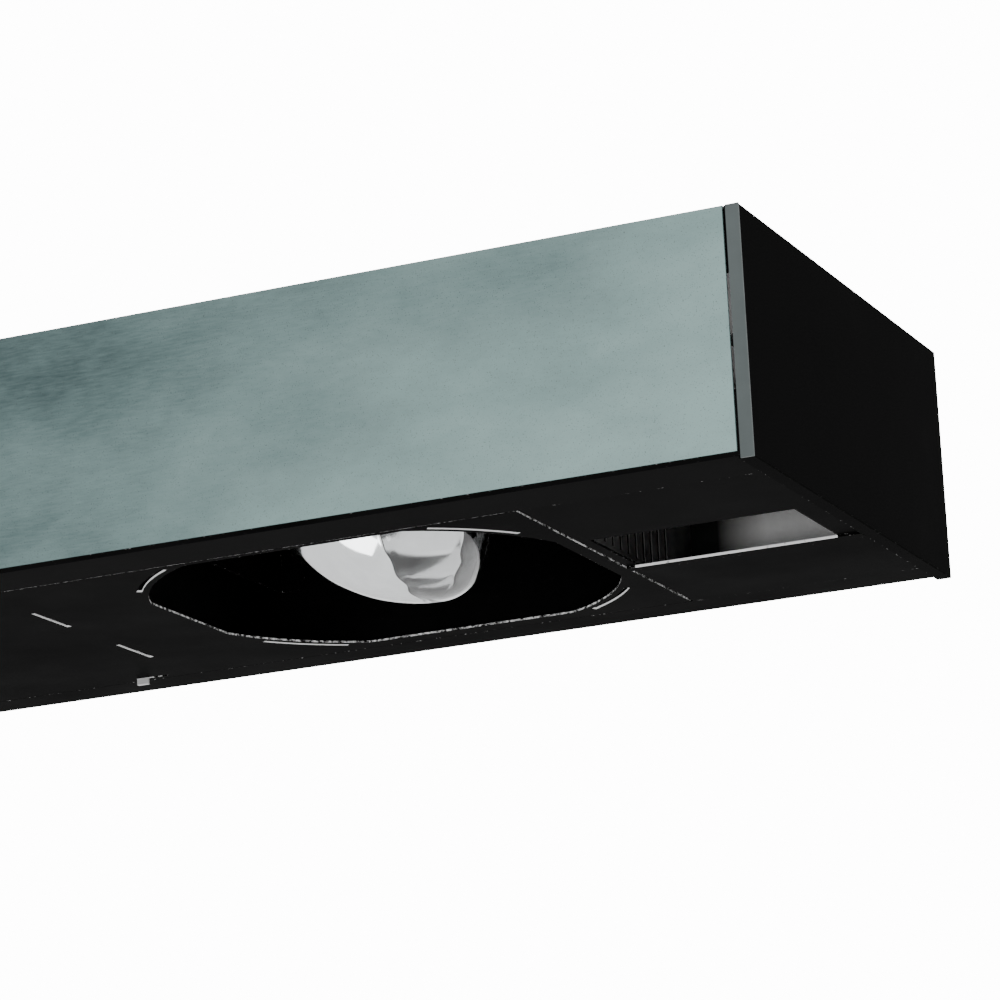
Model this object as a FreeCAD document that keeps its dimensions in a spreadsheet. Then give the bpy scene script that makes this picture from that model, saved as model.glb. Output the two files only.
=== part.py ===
import FreeCAD, Part
import Sketcher
import math
import os

# Overhead heat lamp warmer, two reflector lamps lying in one long sheet-metal housing.
# Frame: X along the length, -Y is the silver front, +Z up.
# Origin: centre of the four mounting nuts, on the top face. Everything hangs below z = 0.

V = FreeCAD.Vector
Rotation = FreeCAD.Rotation
Placement = FreeCAD.Placement

SIZES = {
    "long": 914.0,              # over both end caps
    "deep": 305.0,
    "high": 130.0,
    "sheet": 1.2,
    "skin_long": 908.8,         # inner sheets, between the corner trims
    "lip": 7.0,                 # end cap lip that laps the housing
    "panel_gap": 1.7,           # front panel to corner trim
    "front_flange": 36.3,       # bottom flange of the front rail
    "rear_flange": 28.0,        # bottom flange of the housing at the rear
    "upstand": 8.0,
    "lamp_spacing": 368.0,
    "left_shift": 36.0,         # the left bay stands this much further out
    "pan_long": 626.8,
    "pan_front": -115.7,
    "pan_rear": 124.0,
    "hole_half_x": 120.5,       # lamp opening, half sizes and corner radius about the lamp
    "hole_half_y": 111.5,
    "hole_round": 128.5,
    "arc_inner": 132.3,         # vent arcs round the opening
    "arc_outer": 135.4,
    "arc_start": 33.0,
    "arc_sweep": 22.0,
    "slit_wide": 3.0,
    "slit_long": 39.5,
    "slit_front": -43.2,        # centres of the two slits between the lamps
    "slit_rear": 51.2,
    "latch_x": -26.0,
    "latch_y": 118.4,
    "latch_slot": 20.0,
    "window_left": 321.1,
    "window_right": 435.2,
    "window_front": -37.5,
    "window_rear": 27.2,
    "plate_gap": 1.6,
    "liner": 0.8,
    "liner_half": 113.6,
    "partition": 1.0,
    "partition_out": 304.8,     # inner faces of the bay's two end walls
    "partition_in": 56.0,
    "trunk_y": 132.0,           # wires along the rear gap
    "trunk_z": -48.0,
    "trunk_pitch": 8.0,
    "trunk_hole": 14.0,
    "lamp_wire_z": -74.6,
    "lamp_wire_hole": 6.5,
    "vent_first": 21.5,
    "vent_pitch": 11.1,
    "vent_wide": 3.4,
    "vent_low": -115.0,
    "vent_high": 48.0,
    "lamp_x": 211.0,            # centre of the lamp's widest circle
    "lamp_z": -74.6,
    "lamp_radius": 63.5,
    "glass": 1.2,
    "base_radius": 13.1,
    "socket_radius": 21.0,
    "socket_start": 109.5,
    "socket_long": 36.5,
    "knob_x": -402.0,
    "knob_y": 0.0,
    "knob_radius": 19.0,
    "knob_high": 18.0,
    "knob_low": -151.0,
    "neck_radius": 4.8,
    "shaft_radius": 3.0,
    "mount_half_x": 406.4,      # mounting nuts, half of 812.8 mm by 203.2 mm
    "mount_half_y": 101.6,
    "mount_hole": 3.0,
    "nut_barrel": 4.4,
    "inlet_x": 385.0,
    "inlet_y": 60.0,
    "inlet_radius": 11.1,
}

doc = FreeCAD.newDocument("HeatLampWarmer")
sheet = doc.addObject("Spreadsheet::Sheet", "Sizes")
for row, (alias, size) in enumerate(SIZES.items(), start=1):
    sheet.set("A%d" % row, alias)
    sheet.set("B%d" % row, "%g" % size)
    sheet.setAlias("B%d" % row, alias)
doc.recompute()

nodes = []
RIGHT = 1
LEFT = -1
SIDES = {RIGHT: "right", LEFT: "left"}
CORNERS = ((1, 1), (1, -1), (-1, 1), (-1, -1))

# Bulb shape: radii of the domed face and of its shoulder, then radius and distance behind
# the widest circle down the reflector to the neck.
DOME = 85.0
SHOULDER = 22.0
REFLECTOR = ((62.6, 15), (58.1, 34), (49.6, 53), (38.2, 70), (29.2, 80.5), (22.0, 89.5), (18.8, 96.5))

HEAD_RADIUS = 2.6
HEAD_HIGH = 1.0
SHANK_RADIUS = 1.5


def size(alias):
    return float(getattr(sheet, alias))


def value(text):
    """Number that an expression on the sheet gives now."""
    result = sheet.evalExpression(text)
    return float(getattr(result, "Value", result))


def expr(text):
    """The same expression as another object's property sees it."""
    words = []
    word = ""
    for letter in text + " ":
        if letter.isalnum() or letter == "_":
            word += letter
            continue
        if word in SIZES:
            word = "Sizes." + word
        words.append(word + letter)
        word = ""
    return "".join(words).strip()


def mirrored(side, text):
    """A distance out from the middle, on the right bay or on the left bay."""
    return text if side == RIGHT else "-(" + text + ") - left_shift"


def keep(thing, label):
    thing.Label = label
    nodes.append(thing)
    return thing


# ---- sketched pieces -------------------------------------------------------

def new_body(name):
    return doc.addObject("PartDesign::Body", name + "_body")


def plane(body, role):
    return [f for f in body.Origin.OriginFeatures if f.Role == role][0]


def profile(body, role, loops, lift="0"):
    """Sketch of closed straight-sided loops. Every corner is held by two sheet expressions."""
    sketch = body.newObject("Sketcher::SketchObject", body.Name + "_sketch")
    sketch.AttachmentSupport = (plane(body, role), [""])
    sketch.MapMode = "FlatFace"
    if lift != "0":
        sketch.setExpression("AttachmentOffset.Base.z", expr(lift))
    for corners in loops:
        first = sketch.GeometryCount
        points = [V(value(x), value(y), 0) for x, y in corners]
        count = len(points)
        for i in range(count):
            sketch.addGeometry(Part.LineSegment(points[i], points[(i + 1) % count]), False)
        for i in range(count):
            following = first + (i + 1) % count
            sketch.addConstraint(Sketcher.Constraint("Coincident", first + i, 2, following, 1))
        for i, (x, y) in enumerate(corners):
            hold(sketch, "DistanceX", first + i, points[i].x, x)
            hold(sketch, "DistanceY", first + i, points[i].y, y)
    return sketch


def hold(sketch, kind, edge, now, text):
    """Fix one coordinate of a line's start point."""
    if abs(now) < 1e-9:
        axis = -2 if kind == "DistanceX" else -1
        sketch.addConstraint(Sketcher.Constraint("PointOnObject", edge, 1, axis))
        return
    number = sketch.addConstraint(Sketcher.Constraint(kind, -1, 1, edge, 1, now))
    sketch.setExpression("Constraints[%d]" % number, expr(text))


def pad(body, sketch, length, midplane=True, backward=False):
    feature = body.newObject("PartDesign::Pad", body.Name + "_pad")
    feature.Profile = sketch
    feature.setExpression("Length", expr(length))
    feature.SideType = "Symmetric" if midplane else "One side"
    feature.Reversed = backward
    return feature


def pocket(body, sketch, length, backward=False, midplane=False):
    """Cut, and make sure that it took material away."""
    doc.recompute()
    before = body.Shape.Volume
    feature = body.newObject("PartDesign::Pocket", body.Name + "_pocket")
    feature.Profile = sketch
    feature.SideType = "Symmetric" if midplane else "One side"
    feature.setExpression("Length", expr(length))
    feature.Reversed = backward
    doc.recompute()
    if not body.Shape.Volume < before - 0.1:
        raise RuntimeError(feature.Name + " cuts nothing")
    return feature


def soften(body, wanted, radius):
    """Round the straight edges whose middle point passes the test."""
    doc.recompute()
    tip = body.Tip
    names = []
    for number, edge in enumerate(tip.Shape.Edges, start=1):
        middle = edge.valueAt((edge.FirstParameter + edge.LastParameter) / 2)
        if wanted(middle, edge):
            names.append("Edge%d" % number)
    feature = body.newObject("PartDesign::Fillet", body.Name + "_fillet")
    feature.Base = (tip, names)
    feature.Radius = radius
    return feature


def along(edge, axis):
    ends = [vertex.Point for vertex in edge.Vertexes]
    if len(ends) != 2:
        return False
    step = ends[1] - ends[0]
    return step.Length > 1e-6 and abs(step.normalize().dot(axis)) > 0.999


def rectangle(x0, x1, y0, y1):
    return [(x0, y0), (x1, y0), (x1, y1), (x0, y1)]


# ---- pieces from primitives ------------------------------------------------

def box(name, x, y, z, length, width, height):
    piece = doc.addObject("Part::Box", name)
    for prop, text in zip(("Length", "Width", "Height"), (length, width, height)):
        piece.setExpression(prop, expr(text))
    for prop, text in zip("xyz", (x, y, z)):
        piece.setExpression("Placement.Base." + prop, expr(text))
    return piece


def rod(name, x, y, z, radius, height, axis="z"):
    """Cylinder that starts at x, y, z and runs along one axis."""
    piece = doc.addObject("Part::Cylinder", name)
    piece.setExpression("Radius", expr(radius))
    piece.setExpression("Height", expr(height))
    turn = {"z": Rotation(), "x": Rotation(V(0, 1, 0), 90), "y": Rotation(V(1, 0, 0), -90)}[axis]
    piece.Placement = Placement(V(0, 0, 0), turn)
    for prop, text in zip("xyz", (x, y, z)):
        piece.setExpression("Placement.Base." + prop, expr(text))
    return piece


def fuse(name, pieces):
    piece = doc.addObject("Part::MultiFuse", name)
    piece.Shapes = pieces
    return piece


def cut(name, base, tools):
    tool = tools[0] if len(tools) == 1 else fuse(name + "_tools", tools)
    piece = doc.addObject("Part::Cut", name)
    piece.Base = base
    piece.Tool = tool
    return piece


def shared(name, base, zone):
    """The part of a shape that lies inside a zone."""
    piece = doc.addObject("Part::Common", name)
    piece.Base = base
    piece.Tool = zone
    return piece


def group(name, pieces):
    piece = doc.addObject("Part::Compound", name)
    piece.Links = pieces
    return piece


# ---- housing ---------------------------------------------------------------

def make_housing_shell():
    """Top panel, front hem, and rear panel with its bottom flange, welded at the corners."""
    body = new_body("housing_shell")
    corners = [
        ("-deep/2 + sheet", "-35"),
        ("-deep/2 + sheet", "-sheet"),
        ("deep/2 - sheet", "-sheet"),
        ("deep/2 - sheet", "-high + sheet"),
        ("deep/2 - rear_flange", "-high + sheet"),
        ("deep/2 - rear_flange", "-high + sheet + upstand"),
        ("deep/2 - rear_flange + sheet", "-high + sheet + upstand"),
        ("deep/2 - rear_flange + sheet", "-high + 2*sheet"),
        ("deep/2 - 2*sheet", "-high + 2*sheet"),
        ("deep/2 - 2*sheet", "-2*sheet"),
        ("-deep/2 + 2*sheet", "-2*sheet"),
        ("-deep/2 + 2*sheet", "-35"),
    ]
    pad(body, profile(body, "YZ_Plane", [corners]), "skin_long")
    soften(body, is_outer_fold, size("sheet"))
    holes = [("inlet_x", "inlet_y", "-5", "inlet_radius", "z")]
    for sx, sy in CORNERS:
        holes.append(("%d*mount_half_x" % sx, "%d*mount_half_y" % sy, "-5", "nut_barrel", "z"))
    holes += shank_holes(liner_rivet_places(), "z")
    holes += shank_holes(cap_screw_places(), "y")
    holes += shank_holes(cover_screw_places(), "y")
    form = cut("housing_form", body, drills("housing", holes))
    flat = box("top_zone", "-long/2", "-deep/2 + 2*sheet", "-3*sheet", "long", "deep - 4*sheet", "3*sheet")
    front = box("front_zone", "-long/2", "-deep/2", "-40", "long", "2*sheet", "40")
    keep(shared("top_panel", form, flat), "top_panel")
    keep(shared("front_hem", form, front), "front_hem")
    keep(cut("rear_panel", form, [flat, front]), "rear_panel")


def is_outer_fold(middle, edge):
    """Long edges at the outside of the folds."""
    if not along(edge, V(1, 0, 0)):
        return False
    side = size("deep") / 2 - size("sheet")
    low = -size("high") + size("sheet")
    corners = ((-side, -size("sheet")), (side, -size("sheet")), (side, low))
    return any(abs(middle.y - y) < 0.01 and abs(middle.z - z) < 0.01 for y, z in corners)


def make_front_panel():
    """Silver skin with a return flange that hooks over the top."""
    body = new_body("front_panel")
    corners = [
        ("-deep/2", "-high + 3.7"),
        ("-deep/2 + sheet", "-high + 3.7"),
        ("-deep/2 + sheet", "-sheet"),
        ("-deep/2 + 14", "-sheet"),
        ("-deep/2 + 14", "0"),
        ("-deep/2", "0"),
    ]
    pad(body, profile(body, "YZ_Plane", [corners]), "long - 2*lip - 2*panel_gap")
    front = -size("deep") / 2

    def at_front(middle, edge):
        return along(edge, V(1, 0, 0)) and abs(middle.y - front) < 0.01 and middle.z > -1

    soften(body, at_front, 0.8)
    keep(body, "front_panel")


def make_front_rail():
    """Bottom flange along the front, with the nose that shows under the silver panel."""
    body = new_body("front_rail")
    low = "-high + sheet"
    corners = [
        ("-deep/2 + sheet", low),
        ("-deep/2 + front_flange", low),
        ("-deep/2 + front_flange", low + " + upstand"),
        ("-deep/2 + front_flange - sheet", low + " + upstand"),
        ("-deep/2 + front_flange - sheet", low + " + sheet"),
        ("-deep/2 + 2*sheet", low + " + sheet"),
        ("-deep/2 + 2*sheet", "-95"),
        ("-deep/2 + sheet", "-95"),
    ]
    pad(body, profile(body, "YZ_Plane", [corners]), "skin_long")
    nose = [rectangle("-deep/2", "-deep/2 + sheet", low, "-high + 3.5")]
    pad(body, profile(body, "YZ_Plane", nose), "long - 2*lip - 0.4")
    front = -size("deep") / 2
    bottom = -size("high") + size("sheet")

    def at_nose(middle, edge):
        return along(edge, V(1, 0, 0)) and abs(middle.y - front) < 0.01 and abs(middle.z - bottom) < 0.01

    soften(body, at_nose, 1.0)
    keep(body, "front_rail")


def make_end_cap(side):
    """Tray with lips on the top, the back and the bottom, open to the front trim."""
    name = SIDES[side] + "_end_cap"
    body = new_body(name)
    sign = "" if side == RIGHT else "-"
    outer = [rectangle("-deep/2 + sheet", "deep/2", "-high", "0")]
    start = sign + "(long/2 - sheet - lip)"
    face = profile(body, "YZ_Plane", outer, lift=start)
    pad(body, face, "sheet + lip", midplane=False, backward=side == LEFT)
    inner = [rectangle("-deep/2", "deep/2 - sheet", "-high + sheet", "-sheet")]
    pocket(body, profile(body, "YZ_Plane", inner, lift=start), "lip", backward=side == RIGHT)
    end = side * size("long") / 2

    def on_face_rim(middle, edge):
        return abs(middle.x - end) < 0.01

    soften(body, on_face_rim, 0.7)
    screws = [place for place in cap_screw_places() if place[0] * side > 0]
    drilled(body, name, shank_holes(screws, "y"))


def make_corner_trim(side):
    """Bright angle at the front corner: one leg in front of the cap, one inside it."""
    name = SIDES[side] + "_corner_trim"
    inside = "long/2 - 2*sheet"
    x = "long/2 - lip" if side == RIGHT else "-long/2"
    front = box(name + "_front", x, "-deep/2", "-high", "lip", "sheet", "high")
    x = inside if side == RIGHT else "-(" + inside + ") - sheet"
    leg = box(name + "_leg", x, "-deep/2 + sheet", "-high + 3", "sheet", "11", "high - 6")
    keep(fuse(name + "_fuse", [front, leg]), name)


def make_bottom_plates():
    """Bottom covers beside the lamp pan; the right one has the window notch."""
    front = "-deep/2 + front_flange"
    rear = "deep/2 - rear_flange"
    inner = "pan_long/2 + plate_gap"
    outer = "skin_long/2"
    tab = "window_rear + 5.4"
    low = "-high + sheet"
    plate = new_body("right_bottom_plate")
    corners = [
        (inner, front),
        (outer, front),
        (outer, tab),
        ("window_right", tab),
        ("window_right", "window_front"),
        ("window_left", "window_front"),
        ("window_left", tab),
        (inner, tab),
    ]
    pad(plate, profile(plate, "XY_Plane", [corners], lift=low), "sheet", midplane=False)
    keep(plate, "right_bottom_plate")
    plain = new_body("left_bottom_plate")
    section = [
        (front, low),
        (rear, low),
        (rear, low + " + upstand"),
        (rear + " - sheet", low + " + upstand"),
        (rear + " - sheet", low + " + sheet"),
        (front + " + sheet", low + " + sheet"),
        (front + " + sheet", low + " + upstand"),
        (front, low + " + upstand"),
    ]
    sketch = profile(plain, "YZ_Plane", [section], lift="-" + outer)
    pad(plain, sketch, outer + " - (" + inner + ") - left_shift", midplane=False)
    drilled(plain, "left_bottom_plate", [("knob_x", "knob_y", low + " - 1", "neck_radius + 0.1", "z")])
    make_wiring_cover(rear, inner, low)


def make_lamp_pan():
    """Bottom pan with the two lamp openings, their vent arcs and the slits between them."""
    low = "-high + sheet"
    wide = "pan_rear - pan_front"
    left = "-pan_long/2 - left_shift"
    whole = "pan_long + left_shift"
    plate = box("pan_plate", left, "pan_front", low, whole, wide, "sheet")
    hem_front = box("pan_front_hem", left, "pan_front", low, whole, "sheet", "6")
    hem_rear = box("pan_rear_hem", left, "pan_rear - sheet", low, whole, "sheet", "6")
    blank = fuse("pan_blank", [plate, hem_front, hem_rear] + pan_hooks())
    tools = []
    for side, word in SIDES.items():
        centre = mirrored(side, "lamp_spacing/2")
        square = box("opening_square_" + word, centre + " - hole_half_x", "-hole_half_y", low + " - 1",
                     "2*hole_half_x", "2*hole_half_y", "sheet + 2")
        disc = rod("opening_disc_" + word, centre, "0", low + " - 1", "hole_round", "sheet + 2")
        opening = doc.addObject("Part::Common", "opening_" + word)
        opening.Base = square
        opening.Tool = disc
        tools.append(opening)
        for number in range(4):
            tools.append(vent_arc(word, number, centre, low))
    for where in ("slit_front", "slit_rear"):
        tools.append(box(where + "_cut", "-slit_wide/2", where + " - slit_long/2", low + " - 1",
                         "slit_wide", "slit_long", "sheet + 2"))
    tools.append(box("latch_cut", "latch_x - latch_slot/2", "latch_y - slit_wide/2", low + " - 1",
                     "latch_slot", "slit_wide", "sheet + 2"))
    keep(cut("lamp_pan_cut", blank, tools), "lamp_pan")


def vent_arc(word, number, centre, low):
    """Cutter for one arc: a ring sector about the lamp, mirrored to each diagonal."""
    name = "arc_%s_%d" % (word, number)
    start = number * 90 + size("arc_start")
    if number % 2:
        start = number * 90 + 90 - size("arc_start") - size("arc_sweep")
    ring = []
    for part, radius in (("outer", "arc_outer"), ("inner", "arc_inner")):
        piece = rod(name + "_" + part, centre, "0", low + " - 1", radius, "sheet + 2")
        piece.Placement = Placement(piece.Placement.Base, Rotation(V(0, 0, 1), start))
        if part == "outer":
            piece.setExpression("Angle", expr("arc_sweep"))
        ring.append(piece)
    return cut(name, ring[0], [ring[1]])


def make_pan_latch():
    """Slide on top of the pan; its tab hangs through the slot for a finger."""
    inside = "-high + 2*sheet"
    slide = box("latch_slide", "latch_x - 16", "latch_y - 14", inside + " + 0.05", "26", "16.6", "1.5")
    tongue = box("latch_tongue", "latch_x - 26", "latch_y - 10", inside + " + 0.05", "12", "9", "1.5")
    tab = box("latch_tab", "latch_x - latch_slot/2 + 0.5", "latch_y - 1.1", "-high - 2.5", "7", "2.2",
              "sheet*2 + 3")
    keep(fuse("pan_latch_fuse", [slide, tongue, tab]), "pan_latch")
    pieces = []
    for number, (y, width) in enumerate((("latch_y - 17", "2.7"), ("latch_y + 2.8", "1.4"))):
        pieces.append(box("latch_guide_foot_%d" % number, "latch_x - 11", y, inside, "32", width, "1.8"))
    pieces.append(box("latch_strap", "latch_x - 11", "latch_y - 17", inside + " + 1.8", "32", "21.2", "0.8"))
    keep(fuse("latch_guide_fuse", pieces), "latch_guide")
    make_latch_keeper(inside)


# ---- lamp bays -------------------------------------------------------------

def make_bay_liner(side):
    """Black channel: front wall, ceiling and rear wall of one lamp bay."""
    name = "bay_liner_" + SIDES[side]
    body = new_body(name)
    low = "-high + 2*sheet + 0.6"
    corners = [
        ("-liner_half", low),
        ("-liner_half", "-2*sheet"),
        ("liner_half", "-2*sheet"),
        ("liner_half", low),
        ("liner_half - liner", low),
        ("liner_half - liner", "-2*sheet - liner"),
        ("-liner_half + liner", "-2*sheet - liner"),
        ("-liner_half + liner", low),
    ]
    sketch = profile(body, "YZ_Plane", [corners], lift=mirrored(side, "partition_in"))
    pad(body, sketch, "partition_out - partition_in", midplane=False, backward=side == LEFT)
    rivets = [place for place in liner_rivet_places() if place[0] * side > 0]
    drilled(body, name, shank_holes(rivets, "z"))


def make_partition(side, place):
    """End wall of a bay, as deep as the housing; the outer one has the vent slots."""
    name = "%s_partition_%s" % (place, SIDES[side])
    inside = place == "inner"
    near = "partition_in - partition" if inside else "partition_out"
    start = near if side == RIGHT else mirrored(side, near) + " - partition"
    base = "-high + 2*sheet + 0.6"
    wall = box(name + "_wall", start, "-deep/2 + 2*sheet", base, "partition", "deep - 4*sheet",
               "high - 4*sheet - 0.6")
    tools = []
    for number, (y, width) in enumerate((("-deep/2", "front_flange + 3"),
                                         ("deep/2 - rear_flange - 3", "rear_flange + 3"))):
        tools.append(box("%s_relief_%d" % (name, number), start + " - 1", y, base + " - 1",
                         "partition + 2", width, "upstand + 2.4"))
    tools.append(rod(name + "_rear_hole", start + " - 1", "trunk_y", "trunk_z", "trunk_hole",
                     "partition + 2", axis="x"))
    if inside:
        tools.append(rod(name + "_lamp_hole", start + " - 1", "9", "lamp_wire_z", "lamp_wire_hole",
                         "partition + 2", axis="x"))
    else:
        for number in range(9):
            tools.append(box("%s_vent_%d" % (name, number), start + " - 1",
                             "vent_first + %d*vent_pitch - vent_wide/2" % number, "vent_low",
                             "partition + 2", "vent_wide", "vent_high"))
    keep(cut(name + "_cut", wall, tools), name)


def lamp_frame(side):
    """Lamp placement: local -Z points out of the face, local +Z to the screw base."""
    turn = Rotation(V(0, 0, -1), V(side, 0, 0))
    return Placement(V(value(mirrored(side, "lamp_x")), 0, size("lamp_z")), turn)


def placed(side, thing):
    thing.Placement = lamp_frame(side).multiply(thing.Placement)
    return thing


def bulb_outline(inset):
    """Half outline of the bulb from the face's middle to the neck, as edges in the XZ plane."""
    wide = size("lamp_radius") - inset
    edge_r = size("lamp_radius") - 7.5
    turn = SHOULDER - inset
    dome = DOME - inset
    slope = math.asin((edge_r - size("lamp_radius") + SHOULDER) / SHOULDER)
    hub = V(size("lamp_radius") - SHOULDER, 0, 0)
    middle = V(0, 0, DOME * math.cos(slope) - SHOULDER * math.cos(slope))

    def on_dome(angle):
        return middle + V(math.sin(angle), 0, -math.cos(angle)) * dome

    def on_shoulder(angle):
        return hub + V(math.sin(angle), 0, -math.cos(angle)) * turn

    quarter = math.pi / 2
    face = Part.Arc(on_dome(0), on_dome(slope / 2), on_dome(slope))
    shoulder = Part.Arc(on_dome(slope), on_shoulder((slope + quarter) / 2), on_shoulder(quarter))
    taper = [V(radius - 1.1 * inset, 0, back) for radius, back in REFLECTOR]
    waist = Part.BSplineCurve()
    waist.interpolate([V(wide, 0, 0)] + taper, InitialTangent=V(0, 0, 20), FinalTangent=V(-2, 0, 12))
    throat = Part.LineSegment(taper[-1], V(17.4 - 1.1 * inset, 0, 102))
    return [curve.toShape() for curve in (face, shoulder, waist, throat)]


def make_lamp(side):
    """Reflector lamp: blown glass, mirror layer, mount with filament, and screw base."""
    word = SIDES[side]
    outer = bulb_outline(0)
    inner = bulb_outline(size("glass"))
    end = join_ends(outer[-1], inner[-1])
    apex = Part.LineSegment(outer[0].Vertexes[0].Point, inner[0].Vertexes[0].Point).toShape()
    glass = doc.addObject("Part::Feature", "glass_" + word)
    glass.Shape = turned(Part.Wire(Part.__sortEdges__(outer + [end] + inner + [apex])))
    keep(placed(side, glass), "lamp_glass_" + word)
    skin = size("glass") + 0.05
    outside = bulb_outline(skin)[2:]
    inside = bulb_outline(skin + 0.3)[2:]
    rim = Part.LineSegment(outside[0].Vertexes[0].Point, inside[0].Vertexes[0].Point).toShape()
    foot = join_ends(outside[-1], inside[-1])
    mirror = doc.addObject("Part::Feature", "mirror_" + word)
    mirror.Shape = turned(Part.Wire(Part.__sortEdges__(outside + [foot] + inside + [rim])))
    keep(placed(side, mirror), "lamp_mirror_" + word)
    make_lamp_mount(side, word)
    make_lamp_base(side, word)


def turned(wire):
    solid = Part.Face(wire).revolve(V(0, 0, 0), V(0, 0, 1), 360)
    return solid


def make_lamp_mount(side, word):
    """Glass stem, two lead wires and the filament bow between them."""
    stem = Part.makeCylinder(4.5, 42, V(0, 0, 60))
    leads = []
    for x in (-3, 3):
        start = V(x, 0, 60)
        end = V(5 * x, 0, 22)
        leads.append(Part.makeCylinder(0.6, (end - start).Length, start, end - start))
    bow = Part.Wire([Part.Arc(V(-15, 0, 21.6), V(0, 12, 21.6), V(15, 0, 21.6)).toShape()])
    section = Part.Wire([Part.Circle(V(-15, 0, 21.6), bow.Edges[0].tangentAt(0), 1.1).toShape()])
    filament = bow.makePipeShell([section], True, True)
    whole = stem.multiFuse(leads)
    mount = doc.addObject("Part::Feature", "lamp_mount_" + word)
    mount.Shape = Part.makeCompound([whole.cut(filament), filament])
    keep(placed(side, mount), "lamp_mount_" + word)


def make_lamp_base(side, word):
    """Screw base with three rolled thread crests and the centre contact."""
    radius = size("base_radius")
    points = [V(0, 0, 102.2), V(17.2, 0, 102.2), V(17.2, 0, 104), V(radius, 0, 108.5)]
    for crest in range(4):
        z = 111 + 4.5 * crest
        points += [V(radius - 0.9, 0, z), V(radius, 0, z + 2.2)]
    points += [V(radius - 0.9, 0, 129), V(5, 0, 132.5), V(4.2, 0, 134.5), V(0, 0, 134.5), V(0, 0, 102.2)]
    base = doc.addObject("Part::Feature", "lamp_base_" + word)
    base.Shape = turned(Part.makePolygon(points))
    keep(placed(side, base), "lamp_base_" + word)


def make_socket(side):
    """Porcelain lampholder, its brass screw shell and the strap that carries it."""
    word = SIDES[side]
    start = size("socket_start")
    length = size("socket_long")
    block = rod("socket_block_" + word, "0", "0", "0", "socket_radius", "socket_long")
    bore = rod("socket_bore_" + word, "0", "0", "-1", "base_radius + 2", "socket_long - 8")
    wires = rod("socket_wires_" + word, "0", "9", "10", "2.4", "socket_long")
    holder = cut("lamp_socket_%s_cut" % word, block, [bore, wires])
    holder.Placement = Placement(V(0, 0, start), Rotation())
    keep(placed(side, holder), "lamp_socket_" + word)
    ring = rod("shell_ring_" + word, "0", "0", "0", "base_radius + 1.9", "socket_long - 10")
    hole = rod("shell_hole_" + word, "0", "0", "-1", "base_radius + 0.4", "socket_long")
    shell = cut("socket_shell_%s_cut" % word, ring, [hole])
    shell.Placement = Placement(V(0, 0, start + 0.6), Rotation())
    keep(placed(side, shell), "socket_shell_" + word)
    make_socket_strap(side, word, start + length)


def make_socket_strap(side, word, back):
    """Strap across the bay, with an ear at each end against the liner walls."""
    half = "(liner_half - liner)"
    plate = box("strap_plate_" + word, "-17", "-" + half, "0", "34", "2*" + half, "1.5")
    ears = []
    for number, y in enumerate(("-" + half, half + " - 1.5")):
        ears.append(box("strap_ear_%s_%d" % (word, number), "-17", y, "-14", "34", "1.5", "15.5"))
    hole = rod("strap_hole_" + word, "0", "9", "-1", "4", "4")
    strap = cut("socket_strap_%s_cut" % word, fuse("strap_" + word, [plate] + ears), [hole])
    strap.Placement = Placement(V(0, 0, back), Rotation())
    keep(placed(side, strap), "socket_strap_" + word)


# ---- control compartment ---------------------------------------------------

def make_control():
    """Rotary dimmer on the left bottom plate, with its neck and shaft going down through it."""
    seat = "-high + 2*sheet"
    case = box("dimmer_case", "knob_x - 20", "knob_y - 18", seat, "40", "36", "26")
    neck = rod("dimmer_neck", "knob_x", "knob_y", seat + " - 5.2", "neck_radius", "6")
    bore = rod("dimmer_bore", "knob_x", "knob_y", seat + " - 6", "shaft_radius + 0.05", "24")
    wires = rod("dimmer_wire_hole", "knob_x", "knob_y + 9", seat + " + 20", "2.2", "8")
    keep(cut("dimmer_cut", fuse("dimmer_blank", [case, neck]), [bore, wires]), "dimmer_switch")
    nut = rod("nut_ring", "knob_x", "knob_y", seat + " - sheet - 2.4", "7.4", "2.4")
    eye = rod("nut_eye", "knob_x", "knob_y", seat + " - sheet - 3", "neck_radius + 0.1", "4")
    keep(cut("dimmer_nut_cut", nut, [eye]), "dimmer_nut")
    shaft = rod("shaft_rod", "knob_x", "knob_y", "knob_low + 5", "shaft_radius", "knob_high + 12")
    keep(shaft, "dimmer_shaft")
    make_knob()


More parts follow.
